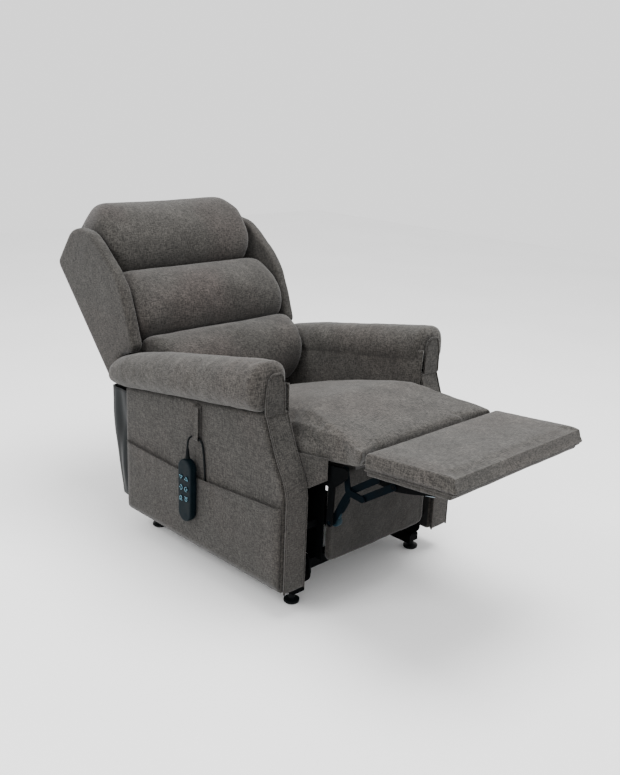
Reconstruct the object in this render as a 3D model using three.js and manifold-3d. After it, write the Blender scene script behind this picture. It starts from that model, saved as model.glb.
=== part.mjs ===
// Lift recliner chair, shown with its back and footrest open.
// Millimetres. +Z up, the chair faces -Y, the sitter's right is -X.
// The origin is on the floor, under the middle of the chair's bounding box.
import * as THREE from 'three';
import { mergeVertices } from 'three/addons/utils/BufferGeometryUtils.js';
import Module from 'manifold-3d';

const wasm = await Module();
wasm.setup();

// ---------------------------------------------------------------- driving dimensions
const GAP = 0.4; // between touching pieces
const PIN = 5; // radius of the linkage pins
const HOLE = 5.5; // radius of the holes they turn in

const ARM_INNER = 256; // inner and outer faces of an arm panel
const ARM_OUTER = 327;
const ARM_FRONT = -318;
const ARM_REAR = 375;
const ARM_BOTTOM = 70;
const ROLL_MIDDLE = 307.5; // scroll roll on top of an arm
const ROLL_HALF_WIDTH = 62.5;
const ROLL_TOP = [[-229, 661], [-102, 637], [59, 607], [215, 580], [336, 553], [385, 537], [412, 517],
  [426, 484]];
const ROLL_SEAM = { y: -162, z: 522, slope: -0.137 };
const FACING = 9; // thickness of the padded front facing

const RAIL_IN = 214; // floor rails of the base
const RAIL_OUT = 250;
const FLOOR_GAP = 25; // height of the glide feet
const RAIL_TOP = 55;
const GLIDE_RADIUS = 21;
const GLIDE_X = 242;
const GLIDE_Y = [-258, 331];

// Lift linkage, [y, z] of each pivot with the chair down.
const LIFT = { front: [-286, 127], frontTop: [71, 121], rear: [-205, 166], rearTop: [318, 190] };
const RECLINE_MOTOR = { x: 110, rear: [262, 254], slope: THREE.MathUtils.degToRad(10) };
const LIFT_MOTOR = { foot: [-220, 100], head: [158, 258], clearance: 8 };

// Seat carriage: it slides back and down along the side frame as the footrest folds.
const SLIDE_SLOPE = THREE.MathUtils.degToRad(10);

// Footrest linkage, [y, z] of each pivot with the footrest out.
const FOOT = {
  upper: [-412, 418], lower: [-376, 381], knee: [-424, 364], heel: [-372, 265],
  toe: [-508, 422], elbow: [-469, 360], tip: [-557, 420],
};
const FOOTREST = { rear: -493, top: 492, length: 265, half: 258, pad: 38, base: 17, rise: 4.94 };

// Back: [s, n] runs up along its rear face and forward out of it.
const RECLINE = THREE.MathUtils.degToRad(42);
const BACK_ORIGIN = [466.5, 430];
const BACK_HINGE = [372, 420];
const WING_INNER = 279;
const WING_OUTER = 314;

// Layers of the flat steel parts, distances from the middle plane.
const LAYER = {
  skirt: [251.2, 254.8], chassis: [244.5, 250], carriage: [236.5, 242],
  frontLink: [234.5, 240], rearLink: [226.5, 232], upright: [218.5, 224],
  driveLink: [230.5, 234.5], footUpper: [224.5, 228.5], footMiddle: [218.5, 222.5],
    footBracket: [212.5, 216.5],
};

const HANDSET = { x: -351, y: 47, bottom: 154, top: 334, halfWidth: 28, halfDepth: 12 };
const CORD_RADIUS = 2.75;

// ---------------------------------------------------------------- materials
function finish(color, roughness, metalness = 0) {
  return new THREE.MeshStandardMaterial({ color, roughness, metalness });
}
const FABRIC = finish(0x6b6561, 0.95);
const FABRIC_TOP = finish(0x79726d, 0.95);
const LINING = finish(0x34393a, 0.95);
const BLACK_STEEL = finish(0x17191b, 0.5, 0.6);
const ZINC = finish(0x8f969b, 0.35, 0.9);
const TIMBER = finish(0xa98a5c, 0.8);
const BLACK_PLASTIC = finish(0x14181a, 0.45);
const HANDSET_PLASTIC = finish(0x0d1e24, 0.4);
const BUTTON_RUBBER = finish(0x27474f, 0.6);
const CORD_SKIN = finish(0x101112, 0.6);

// ---------------------------------------------------------------- solids
function solid(geometry) {
  const bare = geometry.clone();
  bare.deleteAttribute('normal');
  bare.deleteAttribute('uv');
  const merged = mergeVertices(bare, 1e-3);
  const mesh = new wasm.Mesh({
    numProp: 3,
    vertProperties: new Float32Array(merged.attributes.position.array),
    triVerts: new Uint32Array(merged.index.array),
  });
  return new wasm.Manifold(mesh);
}

function geometryOf(body) {
  const mesh = body.getMesh();
  const geometry = new THREE.BufferGeometry();
  geometry.setAttribute('position', new THREE.BufferAttribute(new Float32Array(mesh.vertProperties), 3));
  geometry.setIndex(new THREE.BufferAttribute(new Uint32Array(mesh.triVerts), 1));
  return geometry;
}

const join = (...parts) => geometryOf(parts.map(solid).reduce((whole, piece) => whole.add(piece)));
const cut = (blank, ...tools) => geometryOf(tools.map(solid).reduce((left, tool) => left.subtract(tool),
  solid(blank)));

function box(x0, x1, y0, y1, z0, z1) {
  const block = new THREE.BoxGeometry(x1 - x0, y1 - y0, z1 - z0);
  return block.translate((x0 + x1) / 2, (y0 + y1) / 2, (z0 + z1) / 2);
}

// A closed outline whose corners are rounded off; a point's third value is its own corner size.
function outline(points, corner = 0) {
  const shape = new THREE.Shape();
  const at = (i) => new THREE.Vector2(...points[(i + points.length) % points.length]);
  points.forEach((point, i) => {
    const here = at(i);
    const size = point[2] ?? corner;
    const toward = (other) => {
      const step = other.clone().sub(here);
      return here.clone().add(step.multiplyScalar(Math.min(size / step.length(), 0.48)));
    };
    const start = size ? toward(at(i - 1)) : here;
    if (i === 0) shape.moveTo(start.x, start.y);
    else shape.lineTo(start.x, start.y);
    if (size) {
      const end = toward(at(i + 1));
      shape.quadraticCurveTo(here.x, here.y, end.x, end.y);
    }
  });
  shape.closePath();
  return shape;
}

// Extrudes a [y, z] shape from x0 to x1, its edges rounded by the bevel.
function slab(shape, x0, x1, bevel = 0, curveSegments = 4) {
  const geometry = new THREE.ExtrudeGeometry(shape, {
    depth: x1 - x0 - 2 * bevel, curveSegments,
    bevelEnabled: bevel > 0, bevelSize: bevel, bevelThickness: bevel, bevelOffset: -bevel, bevelSegments: 1,
  });
  const turn = new THREE.Matrix4().makeBasis(
    new THREE.Vector3(0, 1, 0), new THREE.Vector3(0, 0, 1), new THREE.Vector3(1, 0, 0));
  return geometry.translate(0, 0, bevel).applyMatrix4(turn).translate(x0, 0, 0);
}

// The same slab on the left (+1) or the right (-1) of the chair.
function sideSlab(side, shape, [near, far], bevel = 0, curveSegments = 4) {
  const [x0, x1] = side > 0 ? [near, far] : [-far, -near];
  return slab(shape, x0, x1, bevel, curveSegments);
}

function barX([y, z], radius, x0, x1, sides = 16) {
  const bar = new THREE.CylinderGeometry(radius, radius, x1 - x0, sides);
  return bar.rotateZ(Math.PI / 2).translate((x0 + x1) / 2, y, z);
}

const sideBar = (side, pivot, radius, [near, far], sides = 16) =>
  side > 0 ? barX(pivot, radius, near, far, sides) : barX(pivot, radius, -far, -near, sides);

// A rod between two [y, z] points at distance x from the middle plane.
function rod(x, from, to, radius, sides = 16) {
  const step = new THREE.Vector2(to[0] - from[0], to[1] - from[1]);
  return new THREE.CylinderGeometry(radius, radius, step.length(), sides)
    .rotateX(step.angle())
    .translate(x, (from[0] + to[0]) / 2, (from[1] + to[1]) / 2);
}

// A flat link with round ends through its pivots.
function strip(a, b, radius) {
  const shape = new THREE.Shape();
  const angle = Math.atan2(b[1] - a[1], b[0] - a[0]);
  shape.absarc(b[0], b[1], radius, angle - Math.PI / 2, angle + Math.PI / 2);
  shape.absarc(a[0], a[1], radius, angle + Math.PI / 2, angle + 1.5 * Math.PI);
  shape.closePath();
  return shape;
}

// Rings of points, one after the other, joined into one closed skin.
function loft(rings) {
  const count = rings[0].length;
  const points = rings.flat();
  const faces = [];
  for (let r = 0; r + 1 < rings.length; r++) {
    for (let i = 0; i < count; i++) {
      const a = r * count + i;
      const b = r * count + ((i + 1) % count);
      faces.push(a, b, b + count, a, b + count, a + count);
    }
  }
  for (const [ring, flip] of [[0, true], [rings.length - 1, false]]) {
    const centre = rings[ring].reduce((sum, p) => sum.add(p), new THREE.Vector3()).divideScalar(count);
    const middle = points.push(centre) - 1;
    for (let i = 0; i < count; i++) {
      const a = ring * count + i;
      const b = ring * count + ((i + 1) % count);
      faces.push(...(flip ? [middle, b, a] : [middle, a, b]));
    }
  }
  const geometry = new THREE.BufferGeometry().setFromPoints(points);
  geometry.setIndex(faces);
  return geometry;
}

// ---------------------------------------------------------------- scene
const chair = new THREE.Group();
const SIDES = [['left', 1], ['right', -1]];

function add(name, geometry, material, parent = chair) {
  const mesh = new THREE.Mesh(geometry, material);
  mesh.name = name;
  parent.add(mesh);
  return mesh;
}

// ---------------------------------------------------------------- base on the floor
function buildBase() {
  const parts = [];
  for (const [, side] of SIDES) {
    const rail = outline([[-276, 30], [-276, 50], [-270, RAIL_TOP], [345, RAIL_TOP], [345, FLOOR_GAP],
      [-270, FLOOR_GAP]]);
    parts.push(sideSlab(side, rail, [RAIL_IN, RAIL_OUT]));
    const post = outline([[-262, 40], [-302, 78, 12], [-302, 127, 14], [-286, 145, 16], [-258, 136, 10],
      [-236, 178, 12], [-205, 186, 18],
      [-184, 172, 14], [-176, 40]]);
    const plate = sideSlab(side, post, LAYER.upright);
    parts.push(plate, sideBar(side, LIFT.front, PIN, [223, 239]));
    parts.push(sideBar(side, LIFT.rear, PIN + 1, [223, 231]));
  }
  parts.push(box(-221, 221, -272, -244, 84, 112), box(-216, 216, 292, 330, 27, 53));
  for (const x of [-29, 23]) parts.push(slab(strip([-256, 98], LIFT_MOTOR.foot, 14), x, x + 6));
  parts.push(barX(LIFT_MOTOR.foot, PIN, -26, 26));
  add('base_frame', join(...parts), BLACK_STEEL);

  GLIDE_Y.forEach((y, row) => {
    for (const [word, side] of SIDES) {
      const top = FLOOR_GAP - GAP;
      const profile = [[0, 0], [GLIDE_RADIUS - 3, 0], [GLIDE_RADIUS, 3], [GLIDE_RADIUS, 9], [9, 13],
        [7, top]];
      const points = [...profile, [0, top]].map((p) => new THREE.Vector2(...p));
      const foot = new THREE.LatheGeometry(points, 20).rotateX(Math.PI / 2);
      foot.translate(side * GLIDE_X, y, 0);
      add(`glide_foot_${row ? 'rear' : 'front'}_${word}`, foot, BLACK_PLASTIC);
    }
  });
}

// ---------------------------------------------------------------- lift linkage and its motor
function buildLift() {
  const cross = [60, 178]; // the tube that ties the two rear lift arms
  const arms = SIDES.map(([, side]) => {
    const arm = sideSlab(side, strip(LIFT.rear, LIFT.rearTop, 17), LAYER.rearLink);
    const bore = (pivot) => sideBar(side, pivot, PIN + 1.6, [220, 236]);
    return cut(arm, bore(LIFT.rear), bore(LIFT.rearTop));
  });
  add('lift_arm_rear', join(...arms, barX(cross, 12, -228, 228)), BLACK_STEEL);

  for (const [word, side] of SIDES) {
    const link = sideSlab(side, strip(LIFT.front, LIFT.frontTop, 15), LAYER.frontLink);
    const bore = (pivot, radius) => sideBar(side, pivot, radius, [230, 244]);
    const bored = cut(link, bore(LIFT.front, HOLE), bore(LIFT.frontTop, HOLE + 0.7));
    add(`lift_link_front_${word}`, bored, BLACK_STEEL);
  }

  const [foot, head] = [LIFT_MOTOR.foot, LIFT_MOTOR.head];
  const axis = new THREE.Vector2(head[0] - foot[0], head[1] - foot[1]);
  const length = axis.length();
  const along = (distance) => [foot[0] + (axis.x * distance) / length,
    foot[1] + (axis.y * distance) / length];
  add('lift_motor_body', motorBody(along, 262), BLACK_PLASTIC);
  const eye = LIFT_MOTOR.clearance + PIN;
  const ring = cut(barX(head, eye + 6, -9, 9, 24), barX(head, eye, -12, 12, 24));
  add('lift_motor_rod', join(rod(0, along(120), along(length - eye - 2), 9), ring), ZINC);
}

// A linear motor along a line: clevis eye, gear case with its upright motor, and the outer tube.
function motorBody(along, tubeEnd) {
  const eye = rod(0, along(-14), along(34), 14);
  const gearCase = rod(0, along(28), along(104), 25, 20);
  const motor = new THREE.CylinderGeometry(23, 23, 84, 20).rotateZ(Math.PI / 2).translate(44, ...along(66));
  const tube = rod(0, along(100), along(tubeEnd), 18, 20);
  return cut(join(eye, gearCase, motor, tube), rod(0, along(112), along(tubeEnd + 5), 9 + GAP),
    barX(along(0), HOLE, -30, 30));
}

// ---------------------------------------------------------------- side frame, arms and trim that rise
// with the chair
function buildChassis() {
  const parts = [];
  const railY = (y) => 338 - Math.tan(SLIDE_SLOPE) * (y + 40); // underside of the seat carriage
  for (const [, side] of SIDES) {
    const plate = outline([[-300, 215, 20], [-300, 372, 6], [-150, railY(-150) + 8, 4],
      [345, railY(345) + 8, 8],
      [345, 150, 25], [30, 92, 25], [30, 215, 20]]);
    parts.push(sideSlab(side, plate, LAYER.chassis));
    const runner = outline([[-135, railY(-135) - 14], [-135, railY(-135) - 1], [335, railY(335) - 1],
      [335, railY(335) - 14]]);
    parts.push(sideSlab(side, runner, [228, 246]));
    parts.push(sideBar(side, LIFT.frontTop, PIN, [236, 246]));
    parts.push(sideBar(side, LIFT.rearTop, PIN + 1, [228, 246]));
  }
  parts.push(box(-246, 246, 298, 322, 214, 238));
  parts.push(box(-246, 246, -294, -272, 217, 237));
  parts.push(box(-246, 246, 160, 180, 216, 234));
  for (const x of [-198, 194]) parts.push(box(x, x + 4, ARM_FRONT + 1, -250, 128, 350));
  const [head, tail] = [LIFT_MOTOR.head, RECLINE_MOTOR.rear];
  parts.push(barX(head, PIN, -60, 60), barX(tail, PIN, RECLINE_MOTOR.x - 26, RECLINE_MOTOR.x + 26));
  for (const x of [-64, 56]) parts.push(slab(strip(head, [170, 226], 11), x, x + 8));
  for (const x of [-26, 20]) parts.push(slab(strip(tail, [304, 232], 11), RECLINE_MOTOR.x + x,
    RECLINE_MOTOR.x + x + 6));
  add('side_frame', join(...parts), BLACK_STEEL);

  for (const [word, side] of SIDES) buildArm(word, side);

  const board = outline([[-192, 125, 26], [192, 125, 26], [192, 365, 8], [-192, 365, 8]]);
  const kick = new THREE.ExtrudeGeometry(board, { depth: 10, bevelSize: 3, bevelThickness: 3,
    bevelOffset: -3, bevelSegments: 1 });
  add('kick_board', kick.rotateX(Math.PI / 2).translate(0, ARM_FRONT - GAP - 3, 0), FABRIC);
}

const seamZ = (y) => ROLL_SEAM.z + ROLL_SEAM.slope * (y - ROLL_SEAM.y);

function buildArm(word, side) {
  const inset = FACING + 4;
  const panel = outline([[ARM_FRONT + inset, ARM_BOTTOM], [ARM_REAR, ARM_BOTTOM, 14],
    [ARM_REAR, seamZ(ARM_REAR) - GAP],
    [-237 + inset, seamZ(-237 + inset) - GAP], [-272 + inset, 430, 40], [ARM_FRONT + inset, 352, 40]]);
  add(`arm_panel_${word}`, sideSlab(side, panel, [ARM_INNER, ARM_OUTER], 4), FABRIC);

  const ringAt = (y, top, bottom, scale) => Array.from({ length: 20 }, (_, i) => {
    const angle = (2 * Math.PI * i) / 20;
    const bulge = (value) => Math.sign(value) * Math.abs(value) ** 0.77;
    const x = ROLL_MIDDLE + ROLL_HALF_WIDTH * scale * bulge(Math.cos(angle));
    return new THREE.Vector3(side * x, y, (top + bottom) / 2 + ((top - bottom) / 2) * bulge(Math.sin(angle)));
  });
  const rings = ROLL_TOP.map(([y, top], i) => {
    const tail = Math.max(0, y - ARM_REAR);
    return ringAt(y, top, seamZ(y) + tail * 0.25, [0.97, 1, 1, 1, 1, 0.95, 0.86, 0.6][i]);
  });
  add(`arm_roll_${word}`, loft(side > 0 ? rings.reverse() : rings), FABRIC_TOP);

  const [t, g] = [FACING, ARM_FRONT];
  const ribbon = outline([[g, 74], [g, 352, 44], [-272, 432, 44], [-238, 520], [-238, 528],
    [-238 + t - GAP, 528],
    [-238 + t - GAP, 520], [-272 + t, 432, 40], [g + t, 352, 40], [g + t, 74]]);
  const lower = sideSlab(side, ribbon, [ARM_INNER + 1, ARM_OUTER - 1], 2, 4);
  const face = outline([[269, 522], [331, 522], [331, 590, 34], [318, 629, 26], [282, 629, 26],
    [269, 590, 34]]);
  const arch = new THREE.ExtrudeGeometry(face, { depth: 4, bevelSize: 2, bevelThickness: 2,
    bevelOffset: -2, bevelSegments: 1 });
  arch.rotateX(Math.PI / 2).translate(side > 0 ? 0 : -600, -232, 0);
  add(`arm_facing_${word}`, join(lower, arch), FABRIC);
}

// Side pocket, hanging loop and cord gland on the right-hand arm.
function buildPocket() {
  const back = -ARM_OUTER - GAP;
  const mouth = [[365, 286], [136, 279], [13, 280], [-300, 302]];
  const outer = outline([[-300, 78], [365, 78], ...mouth]);
  const inner = outline([[-294, 84], [359, 84], [359, 300], [-294, 320]]);
  add('side_pocket', cut(slab(outer, back - 9.7, back), slab(inner, back - 7.5, back + 3)), FABRIC);

  const band = outline([[0, 0, 3], [0, 98], [2.5, 98], [2.5, 2.5], [10.5, 2.5], [10.5, 98], [13, 98],
    [13, 0, 3]]);
  const loop = new THREE.ExtrudeGeometry(band, { depth: 20, bevelEnabled: false }).rotateX(Math.PI / 2);
  add('handset_loop', loop.translate(back - 13.4, 39, 386), FABRIC);
  add('cord_gland', box(back - 6.6, back, -9, 5, 140, 162), BLACK_PLASTIC);
}

// ---------------------------------------------------------------- seat carriage
const deckZ = (y) => 430 - 0.1475 * (y + 430); // underside of the seat cushion

function buildCarriage() {
  const parts = [];
  for (const [, side] of SIDES) {
    const runnerTop = (y) => 338 - Math.tan(SLIDE_SLOPE) * (y + 40) + 1;
    const plate = outline([[-430, 402, 8], [-430, deckZ(-430) - 2, 8], [-60, deckZ(-60) - 2, 20],
      [180, 334, 30],
      [330, 322, 40], [352, 428, 14], [392, 436, 14], [396, 400, 12], [384, runnerTop(384) + 1, 8],
      [-262, runnerTop(-262) + 1, 30], [-340, 366, 30], [-388, 364, 8]]);
    parts.push(sideSlab(side, plate, LAYER.carriage));
    parts.push(sideBar(side, FOOT.upper, PIN, [225, 238]), sideBar(side, FOOT.lower, PIN, [231, 238]));
    parts.push(sideBar(side, BACK_HINGE, PIN + 1, [228.5, 238]));
  }
  const across = (y, z, half, depth) => box(-238, 238, y - half, y + half, z - depth, z);
  parts.push(box(RECLINE_MOTOR.x - 12, RECLINE_MOTOR.x + 12, -265, -235, 336, 380));
  parts.push(across(-250, deckZ(-250) - 16, 15, 12), across(60, deckZ(60) - 16, 15, 19),
    across(340, 322, 12, 24));
  add('seat_frame', join(...parts), BLACK_STEEL);

  const deck = outline([[-428, deckZ(-428) - 12], [-428, deckZ(-428) - GAP], [178, deckZ(178) - GAP],
    [178, deckZ(178) - 12]]);
  add('seat_deck', slab(deck, -210, 210), TIMBER);
  add('seat_cushion', seatCushion(), FABRIC_TOP);
  for (const [word, side] of SIDES) {
    const top = (y) => deckZ(y) + 20;
    const skirt = outline([[-369, 384, 12], [-376, 420], [-376, top(-376), 6], [-200, top(-200)], [-200, 372],
      [-315, 344, 16]]);
    add(`seat_skirt_${word}`, sideSlab(side, skirt, LAYER.skirt), FABRIC);
  }
}

// A crowned cushion: the same side outline at each station, lifted toward the middle of the seat
// and drawn in toward a line halfway up its sides.
function seatCushion() {
  const [frontEdge, crownHeight, crownStart] = [-489, 27, 120];
  const top = [[frontEdge, 476], [-478, 494], [-450, 502], [-415, 506], [-360, 510], [-301, 511],
    [-259, 509], [-168, 489],
    [-80, 469], [-13, 452], [60, 436], [113, 423], [160, 405], [178, 385]];
  const bottom = [[180, 362], [172, deckZ(172)], [-150, deckZ(-150)], [-425, deckZ(-425)], [-466, 441],
    [-484, 455]];
  const stations = [[252, 0.3], [244, 0.85], [200, 1], [110, 1], [0, 1], [-110, 1], [-200, 1],
    [-244, 0.85], [-252, 0.3]];
  const rings = stations.map(([x, fullness]) => {
    const across = crownHeight * fullness * Math.cos((Math.PI / 2) * (x / 262)) ** 0.8;
    const upper = top.map(([y, z]) => {
      const middle = (deckZ(y) + z) / 2 + 6;
      const crown = across * Math.sin((Math.PI / 2) * Math.min(1, (y - frontEdge) / crownStart));
      return [y, middle + (z + crown - middle) * (0.75 + 0.25 * fullness)];
    });
    const lower = bottom.map(([y, z]) => [y, z + Math.max(0, 466 - z) * 0.85 * (1 - fullness)]);
    return [...upper, ...lower].map(([y, z]) => new THREE.Vector3(x, y, z));
  });
  return loft(rings);
}

// ---------------------------------------------------------------- footrest and its linkage
function buildFootrest() {
  const { upper, lower, knee, heel, toe, elbow, tip } = FOOT;
  for (const [word, side] of SIDES) {
    const plate = (shape, layer) => sideSlab(side, shape, layer);
    const bore = (pivot) => sideBar(side, pivot, HOLE, [205, 245]);
    const pin = (pivot, near, far) => sideBar(side, pivot, PIN, [near, far]);
    const crank = join(plate(strip(upper, knee, 8.5), LAYER.footUpper),
      plate(strip(knee, elbow, 8.5), LAYER.footUpper));
    add(`footrest_crank_${word}`, join(cut(crank, bore(upper)), pin(knee, 219, 226),
      pin(elbow, 219, 226)), BLACK_STEEL);
    const drive = cut(plate(strip(lower, heel, 10), LAYER.driveLink), bore(lower),
      sideBar(side, heel, HOLE + 1, [205, 245]));
    add(`footrest_drive_link_${word}`, drive, BLACK_STEEL);
    const coupler = join(plate(strip(heel, knee, 8.5), LAYER.footMiddle),
      plate(strip(knee, toe, 8.5), LAYER.footMiddle));
    add(`footrest_long_link_${word}`, join(cut(coupler, bore(knee)), pin(toe, 213, 220),
      pin(heel, 220, 234)), BLACK_STEEL);
    const curved = cut(plate(strip(elbow, tip, 9), LAYER.footMiddle), bore(elbow),
      sideBar(side, tip, HOLE + 0.6, [205, 245]));
    add(`footrest_curved_link_${word}`, curved, ZINC);
  }

  const brackets = SIDES.map(([, side]) => {
    const slope = Math.tan(THREE.MathUtils.degToRad(FOOTREST.rise));
    const underside = FOOTREST.top - FOOTREST.pad - FOOTREST.base - 2.5;
    const under = (y) => underside + slope * (FOOTREST.rear - y);
    const rail = outline([[-498, 410, 8], [-498, under(-498), 4], [-697, under(-697), 4], [-697, 442, 6],
      [-600, 416, 20],
      [-557, 408, 14]]);
    const plate = cut(sideSlab(side, rail, LAYER.footBracket), sideBar(side, toe, HOLE, [205, 220]));
    return join(plate, sideBar(side, tip, PIN, [214, 222.5]));
  });
  add('footrest_frame', join(...brackets, box(-214, 214, -640, -616, 431, 441)), BLACK_STEEL);

  const panel = new THREE.Group();
  panel.position.set(0, FOOTREST.rear, FOOTREST.top);
  panel.rotation.x = -THREE.MathUtils.degToRad(FOOTREST.rise);
  chair.add(panel);
  const { length, half, pad, base } = FOOTREST;
  const cushion = outline([[0, -pad], [0, 0, 14], [-length + 18, 0, 30], [-length - 1, -pad + 2, 12],
    [-length + 12, -pad]]);
  add('footrest_pad', slab(cushion, -half, half, 3), FABRIC_TOP, panel);
  const board = outline([[-3, -pad - base], [-3, -pad - GAP], [-length + 14, -pad - GAP],
    [-length + 22, -pad - base]]);
  add('footrest_base', slab(board, -half + 4, half - 4, 3), FABRIC, panel);
}

// ---------------------------------------------------------------- back
function buildBack() {
  const back = new THREE.Group();
  back.position.set(0, ...BACK_ORIGIN);
  back.rotation.x = Math.PI / 2 - RECLINE; // local +Y runs up the back, local +Z forward out of it
  chair.add(back);
  const local = ([y, z]) => {
    const [dy, dz] = [y - BACK_ORIGIN[0], z - BACK_ORIGIN[1]];
    return [dy * Math.sin(RECLINE) + dz * Math.cos(RECLINE), dz * Math.sin(RECLINE) - dy * Math.cos(RECLINE)];
  };
  const hinge = local(BACK_HINGE);

  const parts = [box(-226, 226, 380, 410, 24, 50), box(-226, 226, 40, 66, 24, 50)];
  for (const [, side] of SIDES) {
    parts.push(side > 0 ? box(200, 226, -20, 410, 24, 50) : box(-226, -200, -20, 410, 24, 50));
    const foot = outline([[hinge[0] - 16, hinge[1] - 4, 8], [hinge[0] - 12, hinge[1] + 16, 10],
      [hinge[0] + 16, hinge[1] + 14, 10],
      [60, 50, 8], [60, 24, 8], [-20, 24, 8]]);
    const bracket = cut(sideSlab(side, foot, [221, 228]), sideBar(side, hinge, PIN + 1.6, [200, 260]));
    parts.push(bracket);
  }
  const timber = join(...parts);
  add('back_frame', cut(timber, barX(hinge, PIN + 1.6, -240, 240)), BLACK_STEEL, back);

  for (const [word, side] of SIDES) {
    const wing = outline([[0, 0], [433, 0, 16], [458, 130, 20], [439, 174, 20], [390, 215, 20],
      [341, 228, 20], [241, 245, 20],
      [184, 242, 20], [110, 216, 20], [26, 180], [18, 158], [40, 110], [36, 70]]);
    add(`back_wing_${word}`, sideSlab(side, wing, [WING_INNER, WING_OUTER], 5), FABRIC, back);
  }
  const shell = outline([[2, 0], [433, 0], [433, 14], [2, 14]]);
  add('outer_back', slab(shell, -WING_INNER + 1, WING_INNER - 1, 3), FABRIC, back);

  const pillows = [
    ['lumbar_cushion', 241, [[-163, 112, 40], [-150, 195, 60], [-60, 246, 60], [30, 222, 40], [51, 185],
      [51, 90], [-90, 90]]],
    ['middle_cushion', 276, [[54, 62], [54, 190], [80, 232, 40], [160, 248, 50], [250, 222, 40],
      [270, 182], [270, 62]]],
    ['head_cushion', 262, [[273, 62], [273, 180], [300, 222, 40], [400, 250, 60], [490, 228, 50],
      [516, 170, 50], [505, 62]]],
  ];
  for (const [name, half, points] of pillows) {
    add(name, slab(outline(points), -half, half, 10), FABRIC_TOP, back);
  }

  const drape = outline([[496, 406], [491, 371], [488, 276], [478, 181], [454, 86], [450, 86],
    [474, 181], [484, 276], [487, 371], [492, 406]]);
  add('rear_valance', slab(drape, -300, 300), LINING);
}

// ---------------------------------------------------------------- recline motor, control box
function buildElectrics() {
  const { x, rear, slope } = RECLINE_MOTOR;
  const along = (distance) => [rear[0] - distance * Math.cos(slope), rear[1] + distance * Math.sin(slope)];
  const body = motorBody(along, 330);
  add('recline_motor_body', body.translate(x, 0, 0), BLACK_PLASTIC);
  add('recline_motor_rod', rod(x, along(235), along(503), 9), ZINC);
  add('control_box', box(-190, -110, 200, 330, 238 + GAP, 270), BLACK_PLASTIC);
  add('power_inlet', box(-166, -138, 330 + GAP, 338, 246, 264), BLACK_PLASTIC);
}

function buildHandset() {
  const { x, y, bottom, top, halfWidth, halfDepth } = HANDSET;
  const capsule = (grow, near, far, bevel) => {
    const shape = new THREE.Shape();
    const radius = halfWidth + grow;
    shape.absarc(y, top - halfWidth, radius, 0, Math.PI);
    shape.absarc(y, bottom + halfWidth, radius, Math.PI, 2 * Math.PI);
    shape.closePath();
    return slab(shape, near, far, bevel, 10);
  };
  const face = x - halfDepth;
  const buttons = [];
  for (let row = 0; row < 3; row++) {
    for (const column of [-1, 1]) buttons.push([y + column * 11.5, top - 52 - row * 30, row, column]);
  }
  const hollow = ([by, bz], grow, from, to) => barX([by, bz], 7.2 + grow, from, to, 14);
  const shell = cut(capsule(0, face, x + halfDepth, 4),
    ...buttons.map((b) => hollow(b, 0.5, face - 2, face + 5)));
  add('handset_case', shell, HANDSET_PLASTIC);
  for (const [by, bz, row, column] of buttons) {
    const name = `handset_button_${['lift', 'recline', 'memory'][row]}_${column < 0 ? 'up' : 'down'}`;
    add(name, hollow([by, bz], 0, face - 1.4, face + 3.4), BUTTON_RUBBER);
  }
  const relief = new THREE.CylinderGeometry(3.4, 6.5, 30, 16).rotateX(Math.PI / 2);
  add('cord_strain_relief', relief.translate(x, y, top + 15 + GAP), CORD_SKIN);

  const route = [
    [x, y, 365], [x, y, 371], [-350.2, 47.4, 378], [-347.2, 48.4, 386], [-341.6, 47.4, 392.4],
      [-335.4, 43, 395.4],
    [-334.6, 36, 395.4], [-334.6, 27, 394.2], [-334.4, 19, 393.4], [-333.9, 11.5, 389.5],
      [-332.9, 6.2, 380], [-331.8, 4.4, 364],
    [-331.4, 1.2, 342], [-331.2, -1, 312], [-331.2, -2, 280], [-331.2, -2, 245], [-331.2, -2, 205],
      [-331.2, -2, 162.4],
  ];
  const path = new THREE.CatmullRomCurve3(route.map((p) => new THREE.Vector3(...p)), false, 'centripetal');
  const section = new THREE.Shape().absarc(0, 0, CORD_RADIUS, 0, 2 * Math.PI);
  const cord = new THREE.ExtrudeGeometry(section, { steps: 26, curveSegments: 5, bevelEnabled: false,
    extrudePath: path });
  add('handset_cord', cord, CORD_SKIN);
}

buildBase();
buildLift();
buildChassis();
buildPocket();
buildCarriage();
buildFootrest();
buildBack();
buildElectrics();
buildHandset();

export default chair;
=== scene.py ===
import math

import bpy
from mathutils import Matrix, Vector, noise


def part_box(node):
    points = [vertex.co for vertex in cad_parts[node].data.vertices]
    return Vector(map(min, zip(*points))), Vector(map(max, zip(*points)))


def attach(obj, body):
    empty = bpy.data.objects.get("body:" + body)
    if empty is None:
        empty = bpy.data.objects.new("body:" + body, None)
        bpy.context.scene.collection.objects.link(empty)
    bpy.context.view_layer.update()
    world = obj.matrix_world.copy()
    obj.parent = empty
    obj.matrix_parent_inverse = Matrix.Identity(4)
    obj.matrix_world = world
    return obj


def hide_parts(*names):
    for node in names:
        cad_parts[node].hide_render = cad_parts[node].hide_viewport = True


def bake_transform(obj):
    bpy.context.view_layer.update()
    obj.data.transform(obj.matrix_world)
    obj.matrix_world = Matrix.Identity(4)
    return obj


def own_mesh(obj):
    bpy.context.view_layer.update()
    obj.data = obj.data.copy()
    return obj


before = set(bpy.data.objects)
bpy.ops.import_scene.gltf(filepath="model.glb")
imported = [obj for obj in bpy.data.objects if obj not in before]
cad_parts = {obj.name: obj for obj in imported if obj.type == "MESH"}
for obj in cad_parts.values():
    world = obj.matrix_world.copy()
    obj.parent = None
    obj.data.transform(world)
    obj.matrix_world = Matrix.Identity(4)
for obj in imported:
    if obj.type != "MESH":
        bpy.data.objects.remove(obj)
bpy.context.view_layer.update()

MM = 0.001
SIDES = (("left", 1), ("right", -1))


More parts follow.
